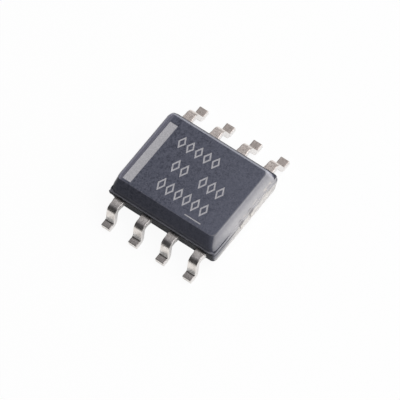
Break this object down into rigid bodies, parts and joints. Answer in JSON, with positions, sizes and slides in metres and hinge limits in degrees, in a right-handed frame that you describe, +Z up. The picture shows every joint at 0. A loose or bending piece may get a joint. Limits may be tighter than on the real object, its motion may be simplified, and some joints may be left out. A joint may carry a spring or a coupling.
{
  "type": "soic chip",
  "caption": "Small-outline integrated circuit: a flat dark moulded body with a bevelled side, a ledge round it and gull-wing leads along both long sides.",
  "frame": {"origin": "on the seating plane, under the middle of the moulding", "axes": "+X along the rows of leads, from the end with the stripe to the other end; +Y across the leads, from leads 1 to 4 to leads 5 to 8; +Z up"},
  "size_m": [0.005, 0.006, 0.0015],
  "materials": {
    "moulding": "matte moulded epoxy with fine grain",
    "tin_plate": "matte tin plating",
    "copper_alloy": "bare copper alloy",
    "adhesive": "silver-filled adhesive",
    "silicon": "polished",
    "gold_wire": "drawn wire"
  },
  "bodies": {
    "root": {"body": "moulding", "lead_1": "tin_plate", "lead_2": "tin_plate", "lead_3": "tin_plate", "lead_4": "tin_plate", "lead_5": "tin_plate", "lead_6": "tin_plate", "lead_7": "tin_plate", "lead_8": "tin_plate", "die_paddle": "copper_alloy", "die_attach": "adhesive", "die": "silicon", "bond_wire_1": "gold_wire", "bond_wire_2": "gold_wire", "bond_wire_3": "gold_wire", "bond_wire_4": "gold_wire", "bond_wire_5": "gold_wire", "bond_wire_6": "gold_wire", "bond_wire_7": "gold_wire", "bond_wire_8": "gold_wire"}
  },
  "joints": []
}
